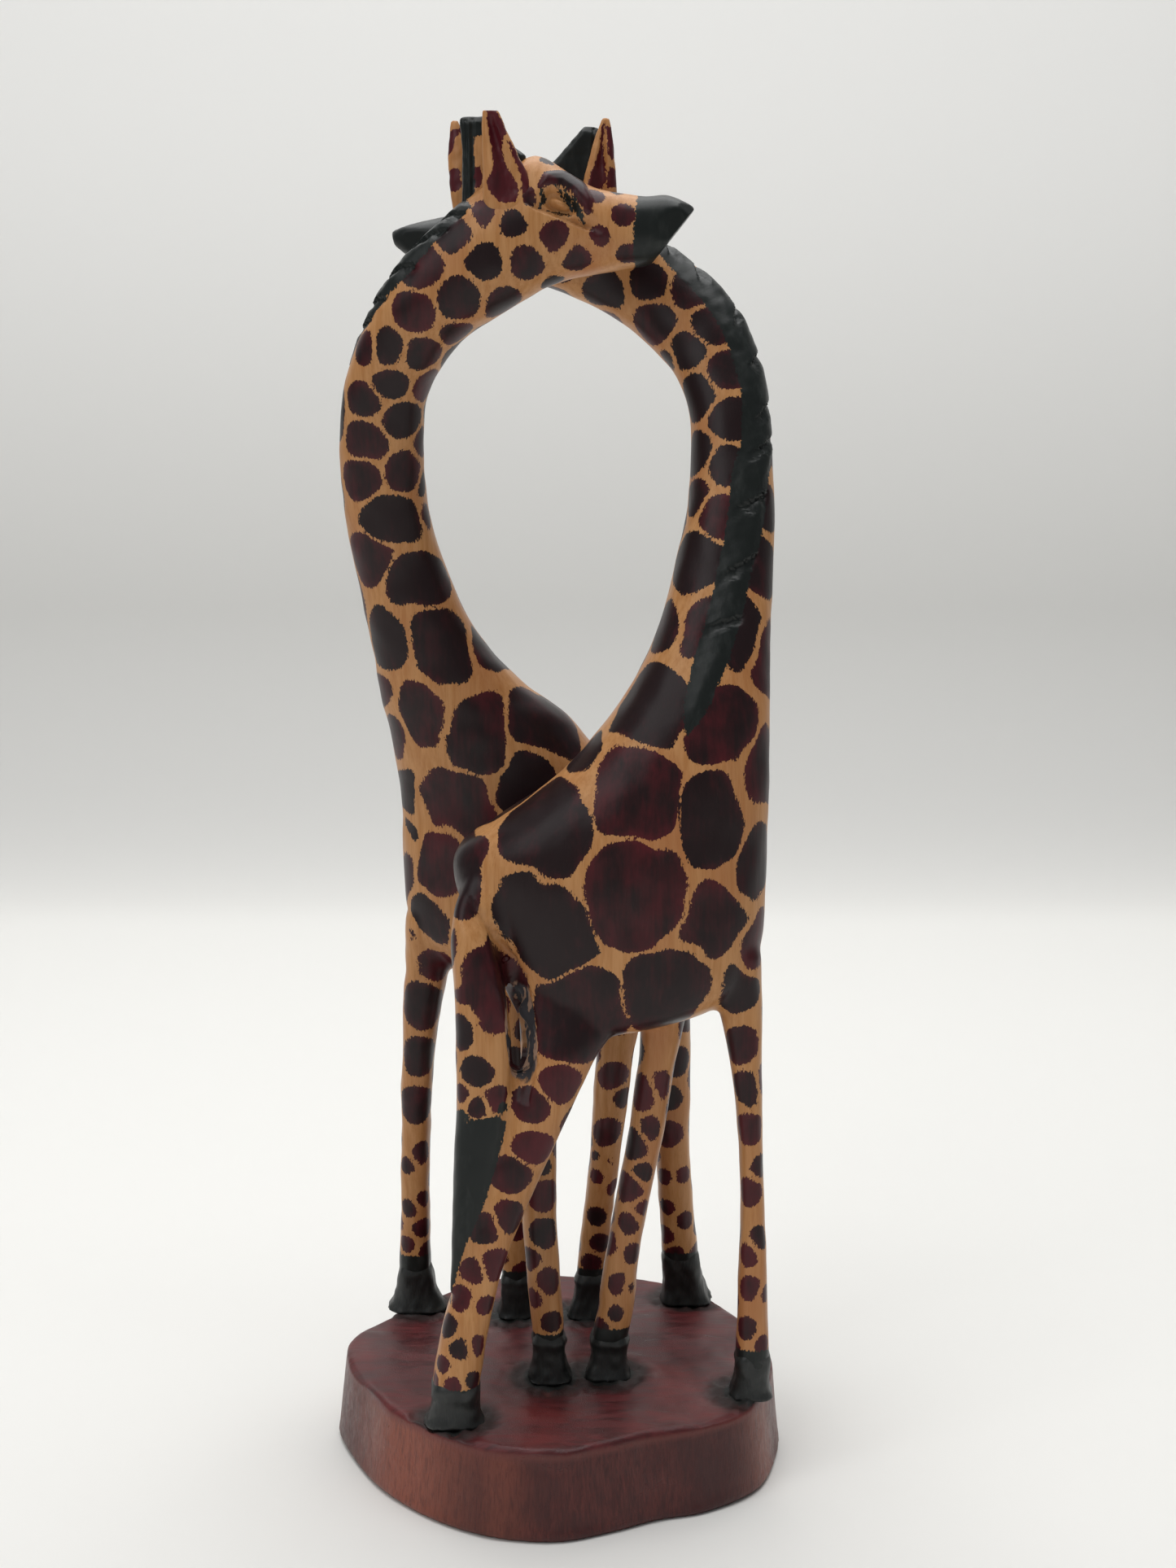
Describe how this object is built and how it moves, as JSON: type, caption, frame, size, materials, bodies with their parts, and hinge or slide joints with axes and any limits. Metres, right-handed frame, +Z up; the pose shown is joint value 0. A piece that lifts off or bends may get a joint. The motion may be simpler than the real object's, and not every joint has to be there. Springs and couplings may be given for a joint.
{
  "type": "carved giraffe statue",
  "caption": "Hand-carved wooden statue of a pair of standing giraffes with crossed necks on a rounded, stained base.",
  "frame": {"origin": "middle of the base's underside, at the middle of the whole object's box", "axes": "+Z up; +X the way the front giraffe's body faces; +Y from the front giraffe towards the rear one"},
  "size_m": [0.1056, 0.1029, 0.305],
  "materials": {
    "spotted_wood": "tan wood with dark maroon painted patches, satin wax",
    "black_paint": "near-black paint on carved wood, low satin",
    "stained_base": "red-brown stain on end and side grain, satin wax"
  },
  "bodies": {
    "root": {"base": "stained_base", "front_torso": "spotted_wood", "front_neck": "spotted_wood", "front_head": "spotted_wood", "front_fore_outer_leg": "spotted_wood", "front_fore_inner_leg": "spotted_wood", "front_hind_outer_leg": "spotted_wood", "front_hind_inner_leg": "spotted_wood", "front_tail": "spotted_wood", "front_near_ear": "spotted_wood", "front_far_ear": "spotted_wood", "front_muzzle": "black_paint", "front_mane": "black_paint", "front_horns": "black_paint", "front_tail_tuft": "black_paint", "front_fore_outer_hoof": "black_paint", "front_fore_inner_hoof": "black_paint", "front_hind_outer_hoof": "black_paint", "front_hind_inner_hoof": "black_paint", "rear_torso": "spotted_wood", "rear_neck": "spotted_wood", "rear_head": "spotted_wood", "rear_fore_outer_leg": "spotted_wood", "rear_fore_inner_leg": "spotted_wood", "rear_hind_outer_leg": "spotted_wood", "rear_hind_inner_leg": "spotted_wood", "rear_tail": "spotted_wood", "rear_near_ear": "spotted_wood", "rear_far_ear": "spotted_wood", "rear_muzzle": "black_paint", "rear_mane": "black_paint", "rear_horns": "black_paint", "rear_tail_tuft": "black_paint", "rear_fore_outer_hoof": "black_paint", "rear_fore_inner_hoof": "black_paint", "rear_hind_outer_hoof": "black_paint", "rear_hind_inner_hoof": "black_paint"}
  },
  "joints": []
}
